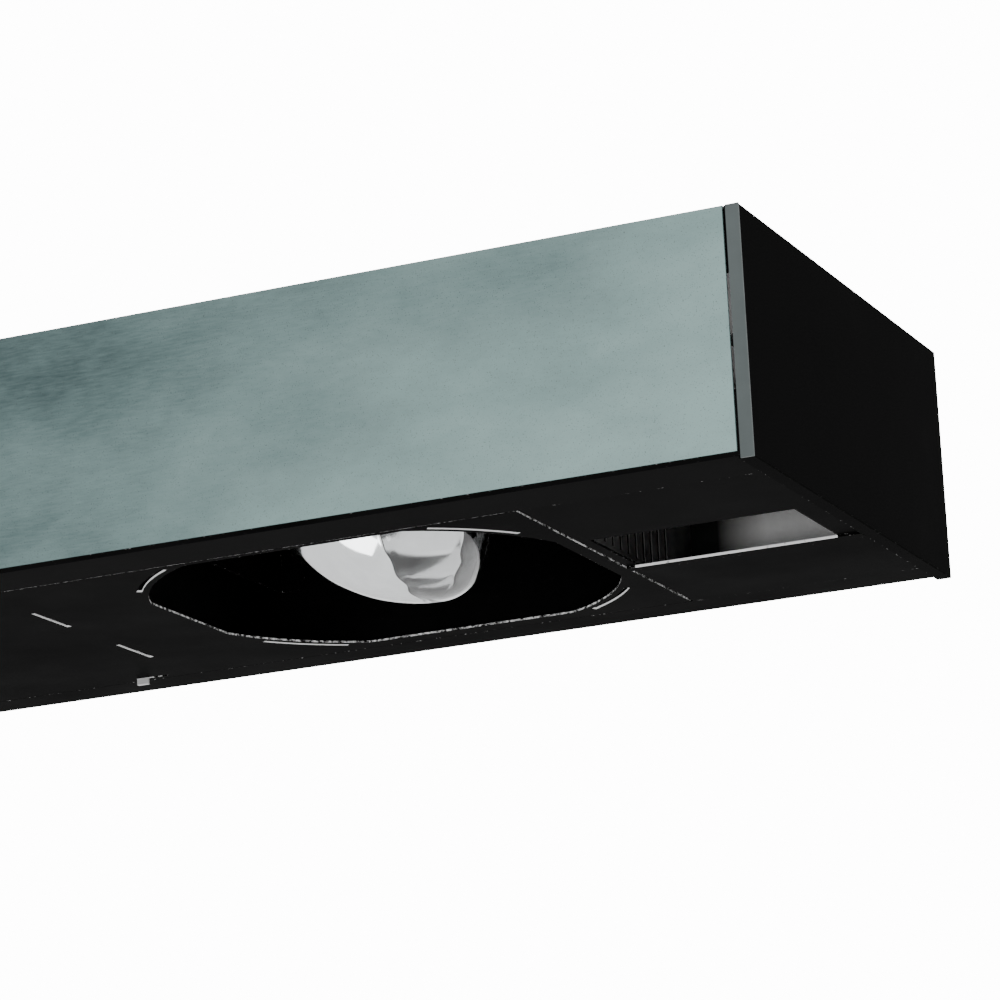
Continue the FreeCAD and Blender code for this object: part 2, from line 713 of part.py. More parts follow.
def make_knob():
    """Fluted knob on the dimmer's shaft."""
    body = new_body("control_knob")
    outline = [
        ("shaft_radius", "knob_low + 5"),
        ("0", "knob_low + 5"),
        ("0", "knob_low"),
        ("knob_radius - 3", "knob_low"),
        ("knob_radius - 1", "knob_low + 2"),
        ("knob_radius", "knob_low + knob_high"),
        ("shaft_radius", "knob_low + knob_high"),
    ]
    sketch = profile(body, "XZ_Plane", [outline])
    turn = body.newObject("PartDesign::Revolution", "knob_turn")
    turn.Profile = sketch
    turn.ReferenceAxis = (sketch, ["V_Axis"])
    turn.Angle = 360
    doc.recompute()
    flute = body.newObject("Sketcher::SketchObject", "knob_flute_sketch")
    flute.AttachmentSupport = (plane(body, "XY_Plane"), [""])
    flute.MapMode = "FlatFace"
    flute.setExpression("AttachmentOffset.Base.z", expr("knob_low - 1"))
    far = size("knob_radius") + 0.4
    edge = flute.addGeometry(Part.Circle(V(far, 0, 0), V(0, 0, 1), 2.0), False)
    flute.addConstraint(Sketcher.Constraint("PointOnObject", edge, 3, -1))
    number = flute.addConstraint(Sketcher.Constraint("DistanceX", -1, 1, edge, 3, far))
    flute.setExpression("Constraints[%d]" % number, expr("knob_radius + 0.4"))
    flute.addConstraint(Sketcher.Constraint("Radius", edge, 2.0))
    groove = pocket(body, flute, "knob_high - 2", backward=True)
    ring = body.newObject("PartDesign::PolarPattern", "knob_flutes")
    ring.Originals = [groove]
    ring.Axis = (plane(body, "Z_Axis"), [""])
    ring.Angle = 360
    ring.Occurrences = 20
    body.Tip = ring
    doc.recompute()
    body.setExpression("Placement.Base.x", expr("knob_x"))
    body.setExpression("Placement.Base.y", expr("knob_y"))
    keep(body, "control_knob")


def make_terminal_block():
    """Three-way insulating block with barriers, on the right bay's outer partition."""
    x = "partition_out + partition"
    low = "trunk_z - 1.6*trunk_pitch"
    base = box("terminal_base", x, "trunk_y - 72", low, "18", "22", "3.2*trunk_pitch")
    walls = []
    for number in range(4):
        z = "trunk_z + %g*trunk_pitch - 0.8" % (number - 1.5)
        walls.append(box("terminal_wall_%d" % number, x, "trunk_y - 72", z, "23", "22", "1.6"))
    keep(fuse("terminal_fuse", [base] + walls), "terminal_block")
    screws = []
    for number in range(3):
        for row, y in enumerate(("trunk_y - 66.5", "trunk_y - 55.5")):
            z = "trunk_z + %d*trunk_pitch" % (number - 1)
            screws.append(rod("terminal_screw_%d_%d" % (number, row), x + " + 18", y, z, "2.9", "2",
                              axis="x"))
    keep(group("terminal_screws_group", screws), "terminal_screws")


def make_inlet():
    """Flanged bushing in the wiring knock-out, and the ground screw beside it."""
    tube = rod("inlet_tube", "inlet_x", "inlet_y", "-9", "inlet_radius - 0.15", "9")
    flange = rod("inlet_flange", "inlet_x", "inlet_y", "-sheet", "inlet_radius + 4", "1.2")
    collar = rod("inlet_collar", "inlet_x", "inlet_y", "-2*sheet - 3", "inlet_radius + 3.4", "3")
    bore = rod("inlet_bore", "inlet_x", "inlet_y", "-10", "inlet_radius - 2.2", "12")
    keep(cut("inlet_cut", fuse("inlet_blank", [tube, flange, collar]), [bore]), "inlet_bushing")
    head = rod("ground_head", "inlet_x + 42", "inlet_y", "-2*sheet - 3", "4.4", "3")
    stem = rod("ground_stem", "inlet_x + 42", "inlet_y", "-2*sheet - 10", "2.3", "7.2")
    keep(fuse("ground_fuse", [head, stem]), "ground_screw")


# ---- fasteners -------------------------------------------------------------

def make_mount_nuts():
    """Four M6 rivet nuts, their flanges level with the top of the lips."""
    nuts = []
    for number, (sx, sy) in enumerate(CORNERS):
        x = "%d*mount_half_x" % sx
        y = "%d*mount_half_y" % sy
        flange = rod("nut_flange_%d" % number, x, y, "-sheet", "6.5", "sheet")
        barrel = rod("nut_barrel_%d" % number, x, y, "-14", "nut_barrel", "14")
        bulge = rod("nut_bulge_%d" % number, x, y, "-2*sheet - 3.2", "nut_barrel + 1.3", "3.2")
        hole = rod("nut_hole_%d" % number, x, y, "-15", "mount_hole", "16")
        nuts.append(cut("nut_%d" % number, fuse("nut_blank_%d" % number, [flange, barrel, bulge]), [hole]))
    keep(group("mount_nuts_group", nuts), "mount_nuts")


def dome_screw(foot, axis, outward):
    """Low domed head with its shank, seated on the sheet at the given foot."""
    direction = {"x": V(1, 0, 0), "y": V(0, 1, 0), "z": V(0, 0, 1)}[axis] * outward
    sphere = (HEAD_RADIUS ** 2 + HEAD_HIGH ** 2) / (2 * HEAD_HIGH)
    foot = V(*foot)
    ball = Part.makeSphere(sphere, foot - direction * (sphere - HEAD_HIGH))
    head = ball.common(Part.makeCylinder(HEAD_RADIUS, HEAD_HIGH + 1, foot, direction))
    shank = Part.makeCylinder(SHANK_RADIUS, 3.2, foot - direction * 3.2, direction)
    return head.fuse(shank).removeSplitter()


# ---- wires -----------------------------------------------------------------

def tube(points, radius, turn=6.0):
    """Straight runs joined by tangent arcs, swept with a round section."""
    edges = []
    last = points[0]
    for i in range(1, len(points) - 1):
        back = (points[i - 1] - points[i]).normalize()
        ahead = (points[i + 1] - points[i]).normalize()
        half = math.acos(max(-1, min(1, back.dot(ahead)))) / 2
        reach = turn / math.tan(half)
        start = points[i] + back * reach
        end = points[i] + ahead * reach
        bisector = (back + ahead).normalize()
        middle = points[i] + bisector * (turn / math.sin(half) - turn)
        edges.append(Part.LineSegment(last, start).toShape())
        edges.append(Part.Arc(start, middle, end).toShape())
        last = end
    edges.append(Part.LineSegment(last, points[-1]).toShape())
    path = Part.Wire(edges)
    section = Part.Wire([Part.Circle(points[0], points[1] - points[0], radius).toShape()])
    return path.makePipeShell([section], True, True)


def make_wiring_cover(rear, inner, low):
    """Cover behind the window; its front edge is joggled under the plate's two tabs."""
    cover = new_body("wiring_cover")
    section = [
        ("window_rear", "-high"),
        ("window_rear + 7", "-high"),
        ("window_rear + 7", low),
        (rear, low),
        (rear, low + " + upstand"),
        (rear + " - sheet", low + " + upstand"),
        (rear + " - sheet", low + " + sheet"),
        ("window_rear + 7 - sheet", low + " + sheet"),
        ("window_rear + 7 - sheet", low),
        ("window_rear", low),
    ]
    sketch = profile(cover, "YZ_Plane", [section], lift=inner)
    pad(cover, sketch, "long/2 - lip - sheet - 0.2 - (" + inner + ")", midplane=False)
    drilled(cover, "wiring_cover", shank_holes(cover_screw_places(), "y"))


def pan_hooks():
    """Three hooks on the pan's front hem that hang over the front rail's upstand."""
    seat = "-high + sheet + upstand + 0.05"
    pieces = []
    for number, x in enumerate((-250, 0, 250)):
        word = "pan_hook_%d_" % number
        left = "%d - 15" % x
        pieces.append(box(word + "rise", left, "pan_front", "-high + 2*sheet", "30", "sheet",
                          "upstand - sheet + 0.05 + sheet"))
        pieces.append(box(word + "over", left, "pan_front - 3.2", seat, "30", "3.2 + sheet", "sheet"))
        pieces.append(box(word + "drop", left, "pan_front - 3.2", seat + " - 3", "30", "sheet", "3 + sheet"))
    return pieces


def make_latch_keeper(inside):
    """Bracket on the rear flange's upstand; the latch's tongue goes through its hole."""
    x = "latch_x - 21"
    top = "-high + sheet + upstand"
    rear = "deep/2 - rear_flange"
    plate = box("keeper_plate", x, "latch_y - 12.5", inside + " + 0.4", "sheet", "16.7", "9.2")
    arm = box("keeper_arm", x + " - 5", "latch_y - 0.5", top + " + 1", "5 + sheet", "8.6", "sheet")
    foot = box("keeper_foot", x + " - 5", rear + " + sheet", top + " - 6", "5", "sheet", "7 + sheet")
    bridge = box("keeper_bridge", x + " - 5", rear + " - 1", top + " + 1", "5", "2*sheet + 1", "sheet")
    hole = box("keeper_hole", x + " - 1", "latch_y - 10.4", inside, "4", "9.8", "2")
    keeper = cut("latch_keeper_cut", fuse("keeper_blank", [plate, arm, foot, bridge]), [hole])
    keep(keeper, "latch_keeper")


def join_ends(first, second):
    return Part.LineSegment(first.Vertexes[-1].Point, second.Vertexes[-1].Point).toShape()


def shank_holes(places, axis):
    """Through holes for shanks, four millimetres either side of each seat."""
    holes = []
    for x, y, z in places:
        if axis == "y":
            y -= 4
        else:
            z -= 4
        holes.append(("%g" % x, "%g" % y, "%g" % z, "%g" % (SHANK_RADIUS + 0.05), axis))
    return holes


def drills(label, holes):
    return [rod("%s_hole_%d" % (label, number), x, y, z, radius, "8", axis=axis)
            for number, (x, y, z, radius, axis) in enumerate(holes)]


def drilled(body, label, holes):
    """Finish a sketched body with round through holes."""
    return keep(cut(label + "_drilled", body, drills(label, holes)), label)


def cap_screw_places():
    """Three screws down the back lip of each end cap."""
    x = size("long") / 2 - size("sheet") - size("lip") / 2 - 1
    back = size("deep") / 2
    return [(side * x, back, z) for side in SIDES for z in (-25, -65, -105)]


def liner_rivet_places():
    """Six rivets that hang each bay liner from the top."""
    seat = -size("sheet")
    return [(value(mirrored(side, "%d" % x)), y, seat) for side in SIDES
            for x in (90, 184, 278) for y in (-95, 95)]


def cover_screw_places():
    """Two screws through the wiring cover's upstand into the rear flange's upstand."""
    y = size("deep") / 2 - size("rear_flange") - size("sheet")
    z = -size("high") + size("sheet") + 0.55 * size("upstand")
    return [(x, y, z) for x in (340, 425)]


def make_fasteners():
    """One group of solids for each kind of fastener."""
    for label, places, axis, outward in (
            ("end_cap_screws", cap_screw_places(), "y", 1),
            ("liner_rivets", liner_rivet_places(), "z", 1),
            ("cover_screws", cover_screw_places(), "y", -1)):
        screws = doc.addObject("Part::Feature", label + "_set")
        screws.Shape = Part.makeCompound([dome_screw(place, axis, outward) for place in places])
        keep(screws, label)


def make_wires():
    """Sleeved wires from the lamps and the dimmer to the terminal block, along the rear gap."""
    rear = size("trunk_y")
    level = size("trunk_z")
    step = size("trunk_pitch")
    turn_in = size("partition_out") + size("partition") + 12
    block = rear - 50
    for side, word in SIDES.items():
        frame = lamp_frame(side)
        start = frame.multVec(V(0, 9, size("socket_start") + 29.5))
        level_now = level + (step if side == RIGHT else 0)
        corner = frame.multVec(V(0, 9, size("lamp_x") - 40))
        points = [start, corner, V(corner.x, rear, level_now), V(turn_in, rear, level_now),
                  V(turn_in, block, level_now)]
        run = doc.addObject("Part::Feature", "lamp_wires_run_" + word)
        run.Shape = tube(points, 1.8, 10)
        keep(run, "lamp_wires_" + word)
    down = level - step
    x = size("knob_x")
    y = size("knob_y") + 9
    low = -size("high") + 2 * size("sheet") + 22
    points = [V(x, y, low), V(x, y, down), V(x, rear, down), V(turn_in, rear, down),
              V(turn_in, block, down)]
    run = doc.addObject("Part::Feature", "control_wires_run")
    run.Shape = tube(points, 1.8, 10)
    keep(run, "control_wires")


def make_wire_bushings():
    """Snap bushings in the partitions' wire holes."""
    pieces = []
    for number, x in enumerate(("partition_out", "partition_in - partition",
                                mirrored(LEFT, "partition_in"),
                                mirrored(LEFT, "partition_out") + " - partition")):
        pieces.append(bushing("trunk_%d" % number, x, "trunk_y", "trunk_z", "trunk_hole"))
    for number, x in enumerate(("partition_in - partition", mirrored(LEFT, "partition_in"))):
        pieces.append(bushing("lamp_%d" % number, x, "9", "lamp_wire_z", "lamp_wire_hole"))
    keep(group("wire_bushings_group", pieces), "wire_bushings")


def bushing(word, x, y, z, hole):
    """Flanged ring snapped into one sheet."""
    barrel = rod(word + "_barrel", x + " - 1.5", y, z, hole, "partition + 3", axis="x")
    rims = []
    for number, start in enumerate((x + " - 1.5", x + " + partition")):
        rims.append(rod("%s_rim_%d" % (word, number), start, y, z, hole + " + 1.5", "1.5", axis="x"))
    bore = rod(word + "_bore", x + " - 3", y, z, hole + " - 1.8", "partition + 6", axis="x")
    return cut(word + "_bushing", fuse(word + "_blank", [barrel] + rims), [bore])


def main():
    make_housing_shell()
    make_front_panel()
    make_front_rail()
    make_bottom_plates()
    make_lamp_pan()
    make_pan_latch()
    for side in SIDES:
        make_end_cap(side)
        make_corner_trim(side)
        make_bay_liner(side)
        make_partition(side, "outer")
        make_partition(side, "inner")
        make_lamp(side)
        make_socket(side)
    make_control()
    make_terminal_block()
    make_inlet()
    make_mount_nuts()
    make_fasteners()
    make_wires()
    make_wire_bushings()
    export()


def export():
    """Recompute, refuse anything broken, then write one STEP per sub-part."""
    doc.recompute()
    broken = [o.Name for o in doc.Objects if "Invalid" in o.State or "Error" in o.State]
    if broken:
        raise RuntimeError("failed objects: " + ", ".join(broken))
    for piece in nodes:
        if piece.Shape.isNull() or not piece.Shape.isValid():
            raise RuntimeError("bad shape: " + piece.Label)
    os.makedirs("parts", exist_ok=True)
    for piece in nodes:
        piece.Shape.exportStep("parts/%s.step" % piece.Label)


main()
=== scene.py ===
import bpy
import bmesh
import math
from mathutils import Matrix, Vector


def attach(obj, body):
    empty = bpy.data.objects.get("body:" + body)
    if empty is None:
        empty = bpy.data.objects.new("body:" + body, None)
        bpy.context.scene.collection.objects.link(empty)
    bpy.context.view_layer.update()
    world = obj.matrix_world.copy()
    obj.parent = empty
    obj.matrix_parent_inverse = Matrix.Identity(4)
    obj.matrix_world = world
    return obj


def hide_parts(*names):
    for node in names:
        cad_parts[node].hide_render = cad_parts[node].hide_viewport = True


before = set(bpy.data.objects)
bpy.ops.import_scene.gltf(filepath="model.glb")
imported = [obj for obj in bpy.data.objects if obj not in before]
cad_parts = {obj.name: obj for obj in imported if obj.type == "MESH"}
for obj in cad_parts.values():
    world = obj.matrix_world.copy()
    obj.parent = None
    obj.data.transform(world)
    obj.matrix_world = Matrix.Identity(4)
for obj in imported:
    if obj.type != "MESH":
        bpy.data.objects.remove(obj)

bl_info = {
    "name": "Heat Lamp Warmer",
    "version": (1, 0, 0),
    "blender": (4, 5, 0),
    "location": "View3D > Sidebar > Warmer",
    "description": "Finishes the heat lamp warmer's frame and builds its lamps and stage",
    "category": "Add Mesh",
}

ROOT = "warmer"
SIDES = {"right": 1, "left": -1}

# Reflector from the widest circle to the neck: radius and distance back from that circle.
REFLECTOR = ((0.0626, 0.015), (0.0581, 0.034), (0.0496, 0.053), (0.0382, 0.070),
             (0.0292, 0.0805), (0.0220, 0.0895), (0.0188, 0.0965), (0.0174, 0.102))

# Places on the sheet metal where a finish changes; the bare cut edges found there are painted near-white as a
# painted highlight.
PAN_THICKNESS = (-0.12872, -0.12768)    # heights between the pan's two faces
OPENING_OUT = 0.184                     # lamp opening's centre, out from the middle
ARC_BAND = (0.1318, 0.1362)             # radii just outside the vent arcs' two edges
SLIT_BAND = ((-0.03, 0.03), (-0.08, 0.09))
HIGHLIT_COVER_LIP = {"x": (0.320, 0.4354), "y": (0.0270, 0.0278), "z": (-0.1302, -0.1287)}


# ---- settings --------------------------------------------------------------

class WarmerLampSettings(bpy.types.PropertyGroup):
    """Reflector lamp, the same sizes as the frame's own lamp."""
    centre_x: bpy.props.FloatProperty(
        name="Centre X", description="Widest circle's distance from the middle of the unit",
        default=0.211, unit="LENGTH")
    centre_z: bpy.props.FloatProperty(
        name="Centre Z", description="Widest circle's height", default=-0.0746, unit="LENGTH")
    left_shift: bpy.props.FloatProperty(
        name="Left shift", description="How much further out the left lamp stands",
        default=0.036, unit="LENGTH")
    radius: bpy.props.FloatProperty(
        name="Radius", description="Radius of the widest circle", default=0.0635, unit="LENGTH")
    dome: bpy.props.FloatProperty(
        name="Dome", description="Radius of the domed face", default=0.085, unit="LENGTH")
    shoulder: bpy.props.FloatProperty(
        name="Shoulder", description="Radius of the rounded shoulder", default=0.022, unit="LENGTH")
    wall: bpy.props.FloatProperty(
        name="Glass", description="Thickness of the glass", default=0.0012, unit="LENGTH")
    segments: bpy.props.IntProperty(
        name="Segments", description="Segments round the lamp", default=160, min=24)
    silver_edge: bpy.props.FloatProperty(
        name="Silver edge", description="Where the silvering ends, behind the widest circle",
        default=0.004, unit="LENGTH")
    silver_wave: bpy.props.FloatProperty(
        name="Silver wave", description="Height of the scallops along the silvering's edge",
        default=0.0012, unit="LENGTH")


class WarmerCoilSettings(bpy.types.PropertyGroup):
    """Filament coil between the lead wires."""
    turns: bpy.props.IntProperty(
        name="Turns", description="Turns in the coil", default=44, min=4)
    coil_radius: bpy.props.FloatProperty(
        name="Coil radius", description="Radius of the coil", default=0.0010, unit="LENGTH")
    wire_radius: bpy.props.FloatProperty(
        name="Wire radius", description="Radius of the wire", default=0.00022, unit="LENGTH")


class WarmerEdgeSettings(bpy.types.PropertyGroup):
    """Folded and cut edges of the sheet metal."""
    fold: bpy.props.FloatProperty(
        name="Edge", description="Width of the worn line along each edge",
        default=0.0008, unit="LENGTH")
    chips: bpy.props.FloatProperty(
        name="Chips", description="How much of each edge has lost its paint",
        default=0.5, min=0.0, max=1.0)


class WarmerStageSettings(bpy.types.PropertyGroup):
    """Floor, lights and camera."""
    floor_drop: bpy.props.FloatProperty(
        name="Floor drop", description="Floor's distance under the top of the unit",
        default=1.6, unit="LENGTH")
    lens: bpy.props.FloatProperty(
        name="Lens", description="Camera's focal length in millimetres", default=150.18, min=10.0)
    sky: bpy.props.FloatProperty(
        name="Sky", description="Strength of the even light all round", default=1.3, min=0.0)
    backdrop: bpy.props.FloatProperty(
        name="Backdrop", description="Brightness of the plain backdrop", default=14.0, min=0.0)


# ---- shader helpers --------------------------------------------------------

class Shader:
    """A material's node tree with short ways to add nodes."""

    def __init__(self, name):
        self.material = bpy.data.materials.new(name)
        self.material.use_nodes = True
        self.tree = self.material.node_tree
        self.bsdf = self.tree.nodes["Principled BSDF"]
        coordinates = self.tree.nodes.new("ShaderNodeTexCoord")
        self.place = coordinates.outputs["Object"]

    def node(self, kind, **values):
        made = self.tree.nodes.new(kind)
        for key, value in values.items():
            setattr(made, key, value)
        return made

    def put(self, socket, value):
        if isinstance(value, bpy.types.NodeSocket):
            self.tree.links.new(value, socket)
        else:
            socket.default_value = value

    def math(self, operation, a, b=0.0, clamp=False):
        made = self.node("ShaderNodeMath", operation=operation, use_clamp=clamp)
        self.put(made.inputs[0], a)
        self.put(made.inputs[1], b)
        return made.outputs[0]

    def stretched(self, x, y, z):
        made = self.node("ShaderNodeVectorMath", operation="MULTIPLY")
        self.put(made.inputs[0], self.place)
        made.inputs[1].default_value = (x, y, z)
        return made.outputs[0]

    def noise(self, scale, detail=4.0, where=None, rough=0.55):
        made = self.node("ShaderNodeTexNoise")
        self.put(made.inputs["Vector"], where or self.place)
        made.inputs["Scale"].default_value = scale
        made.inputs["Detail"].default_value = detail
        made.inputs["Roughness"].default_value = rough
        return made.outputs["Fac"]

    def ramp(self, value, low, high, from_value=0.0, to_value=1.0):
        made = self.node("ShaderNodeMapRange")
        self.put(made.inputs["Value"], value)
        made.inputs["From Min"].default_value = low
        made.inputs["From Max"].default_value = high
        made.inputs["To Min"].default_value = from_value
        made.inputs["To Max"].default_value = to_value
        return made.outputs["Result"]

    def axis(self, name):
        made = self.node("ShaderNodeSeparateXYZ")
        self.put(made.inputs[0], self.place)
        return made.outputs[name]

    def mix(self, factor, a, b):
        made = self.node("ShaderNodeMix", data_type="RGBA")
        self.put(made.inputs["Factor"], factor)
        self.put(made.inputs["A"], a)
        self.put(made.inputs["B"], b)
        return made.outputs["Result"]

    def mix_value(self, factor, a, b):
        made = self.node("ShaderNodeMix", data_type="FLOAT")
        self.put(made.inputs["Factor"], factor)
        self.put(made.inputs["A"], a)
        self.put(made.inputs["B"], b)
        return made.outputs["Result"]

    def bump(self, height, distance, strength=0.5):
        made = self.node("ShaderNodeBump")
        made.inputs["Strength"].default_value = strength
        made.inputs["Distance"].default_value = distance
        self.put(made.inputs["Height"], height)
        self.put(self.bsdf.inputs["Normal"], made.outputs["Normal"])

    def edges(self, radius):
        """About 1 along edges of that radius and 0 on flat faces."""
        made = self.node("ShaderNodeBevel", samples=6)
        made.inputs["Radius"].default_value = radius
        surface = self.node("ShaderNodeBevel", samples=2)
        surface.inputs["Radius"].default_value = 0.0
        dot = self.node("ShaderNodeVectorMath", operation="DOT_PRODUCT")
        self.put(dot.inputs[0], made.outputs["Normal"])
        self.put(dot.inputs[1], surface.outputs["Normal"])
        return self.ramp(dot.outputs["Value"], 0.99, 0.80)

    def inside(self, x=None, y=None, z=None):
        """1 where the object coordinates lie between the given limits."""
        result = None
        for name, limits in (("X", x), ("Y", y), ("Z", z)):
            if limits is None:
                continue
            low = self.math("GREATER_THAN", self.axis(name), limits[0])
            high = self.math("LESS_THAN", self.axis(name), limits[1])
            both = self.math("MULTIPLY", low, high)
            result = both if result is None else self.math("MULTIPLY", result, both)
        return result


def grey(value, warm=0.0):
    return (value + warm, value, value - warm, 1.0)


def black_shader(name, colour=0.0012, roughness=0.45, bright_edges=1.0):
    """Satin black paint on steel, thin along the edges, with small chips."""
    edge_settings = bpy.context.scene.warmer_edges
    s = Shader(name)
    cloud = s.noise(14.0, 5.0)
    speck = s.noise(1400.0, 2.0)
    base = s.mix(s.ramp(cloud, 0.35, 0.65), grey(colour * 0.7), grey(colour * 1.4))
    dust = s.ramp(s.noise(2300.0, 1.0), 0.74, 0.80)
    base = s.mix(s.math("MULTIPLY", dust, 0.12), base, grey(0.12))
    edge = s.edges(edge_settings.fold)
    limit = 0.70 - 0.22 * edge_settings.chips
    ragged = s.ramp(s.noise(420.0, 5.0, rough=0.7), limit, limit + 0.05)
    chipped = s.math("MULTIPLY", s.math("MULTIPLY", edge, ragged), bright_edges, clamp=True)
    s.put(s.bsdf.inputs["Base Color"], s.mix(chipped, base, grey(0.6)))
    s.put(s.bsdf.inputs["Metallic"], s.math("MULTIPLY", chipped, 0.5))
    s.put(s.bsdf.inputs["Roughness"], s.ramp(cloud, 0.3, 0.7, roughness - 0.05, roughness + 0.07))
    s.bsdf.inputs["Specular IOR Level"].default_value = 0.002
    s.bump(speck, 0.00003, 0.35)
    return s


def black_paint(name, colour=0.0012, roughness=0.45, bright_edges=1.0):
    return black_shader(name, colour, roughness, bright_edges).material


def silver_paint(name):
    """Worn silver finish: fine grain along the length and clouds, with painted light making it lighter to the
    right and towards the bottom.
    """
    s = Shader(name)
    grain = s.noise(900.0, 3.0, where=s.stretched(0.12, 1.0, 1.0))
    cloud = s.noise(9.0, 6.0, where=s.stretched(1.0, 1.0, 2.0), rough=0.62)
    speck = s.ramp(s.noise(1500.0, 1.0), 0.64, 0.74)
    # painted light: the panel grows lighter to the right and towards the bottom; the clouds are then added to
    # it
    painted_light_rightwards = s.ramp(s.axis("X"), -0.06, 0.46, 0.0, 0.75)
    painted_light_downwards = s.ramp(s.axis("Z"), -0.01, -0.12, 0.0, 0.3)
    light = s.math("ADD", painted_light_rightwards, painted_light_downwards)
    light = s.math("ADD", light, s.ramp(cloud, 0.3, 0.7, -0.22, 0.22), clamp=True)
    base = s.mix(light, (0.026, 0.052, 0.054, 1.0), (0.225, 0.330, 0.320, 1.0))
    base = s.mix(s.math("MULTIPLY", s.ramp(grain, 0.3, 0.7), 0.16), base, (0.25, 0.34, 0.335, 1.0))
    base = s.mix(s.math("MULTIPLY", speck, 0.5), base, grey(0.03))
    s.put(s.bsdf.inputs["Base Color"], base)
    s.bsdf.inputs["Metallic"].default_value = 0.55
    s.put(s.bsdf.inputs["Roughness"], s.ramp(grain, 0.2, 0.8, 0.46, 0.58))
    s.bump(grain, 0.00004, 0.35)
    return s.material


def bare_metal(name, colour=(0.62, 0.63, 0.64, 1.0), roughness=0.35, metallic=1.0, scale=260.0):
    """Plated or bare metal with fine scratches and cloudy tarnish."""
    s = Shader(name)
    scratch = s.noise(scale, 6.0, where=s.stretched(0.25, 1.0, 1.0), rough=0.7)
    cloud = s.noise(24.0, 3.0)
    dark = tuple(0.72 * channel for channel in colour[:3]) + (1.0,)
    s.put(s.bsdf.inputs["Base Color"], s.mix(s.ramp(cloud, 0.35, 0.7), dark, colour))
    s.bsdf.inputs["Metallic"].default_value = metallic
    s.put(s.bsdf.inputs["Roughness"], s.ramp(scratch, 0.3, 0.7, roughness - 0.08, roughness + 0.12))
    s.bump(scratch, 0.00002, 0.4)
    return s.material


def dull(name, low, high, roughness, scale=900.0, depth=0.00005, shine=0.5):
    """Moulded or matt surface between two colours, with a fine texture."""
    s = Shader(name)
    fine = s.noise(scale, 4.0)
    cloud = s.noise(40.0, 3.0)
    s.put(s.bsdf.inputs["Base Color"], s.mix(s.ramp(cloud, 0.3, 0.7), low, high))
    s.put(s.bsdf.inputs["Roughness"], s.ramp(fine, 0.3, 0.7, roughness - 0.06, roughness + 0.06))
    s.bsdf.inputs["Specular IOR Level"].default_value = shine
    s.bump(fine, depth, 0.4)
    return s.material


def overlay(s, mask, colour, metallic, roughness):
    """Lay another finish over a shader where the mask is 1."""
    for socket, value in (("Base Color", colour), ("Metallic", metallic), ("Roughness", roughness)):
        old = s.bsdf.inputs[socket].links[0].from_socket
        chosen = s.mix(mask, old, value) if socket == "Base Color" else s.mix_value(mask, old, value)
        s.put(s.bsdf.inputs[socket], chosen)


def shell_paint(name):
    """Black outside, bare steel inside, near-black as painted shade up to the right bay's end and near-white
    as painted light past it.
    """
    s = black_shader(name)
    inner = s.inside(x=(-0.46, 0.46), y=(-0.1507, 0.1507), z=(-0.1282, -0.0018))
    cloud = s.ramp(s.noise(30.0, 4.0), 0.3, 0.7, 0.85, 1.0)
    # painted shade and light: the inside ramps from near-black to near-white across the right bay's end
    painted_light_past_bay = s.math("MULTIPLY", s.ramp(s.axis("X"), 0.322, 0.352), cloud)
    overlay(s, inner, s.mix(painted_light_past_bay, grey(0.02), grey(0.92)), 0.25, 0.55)
    return s.material


def partition_paint(name):
    """Plated steel on the wiring side, kept dark grey as painted shade; black on the lamp's side."""
    s = Shader(name)
    outer_right = s.inside(x=(0.3053, 0.31))
    outer_left = s.inside(x=(-0.346, -0.3413))
    wiring = s.math("ADD", outer_right, outer_left, clamp=True)
    cloud = s.noise(60.0, 5.0)
    # painted shade: the plated face is given a dark grey instead of its own bright plating
    plated = s.mix(s.ramp(cloud, 0.35, 0.65), grey(0.10), grey(0.17))
    s.put(s.bsdf.inputs["Base Color"], s.mix(wiring, grey(0.001), plated))
    s.put(s.bsdf.inputs["Metallic"], s.math("MULTIPLY", wiring, 0.4))
    s.bsdf.inputs["Specular IOR Level"].default_value = 0.02
    s.put(s.bsdf.inputs["Roughness"], s.ramp(cloud, 0.3, 0.7, 0.45, 0.62))
    s.bump(cloud, 0.00004, 0.4)
    return s.material


def cut_edges(name, band):
    """Black paint whose freshly cut edge in the given band is bare and ragged, painted near-white as a
    painted highlight.
    """
    s = black_shader(name)
    lip = s.inside(**band)
    ragged = s.ramp(s.noise(300.0, 6.0, rough=0.75), 0.30, 0.42)
    # painted highlight: the bare cut edge is near-white only along the stretch where light catches it
    overlay(s, s.math("MULTIPLY", lip, ragged), grey(0.9), 0.1, 0.55)
    return s.material


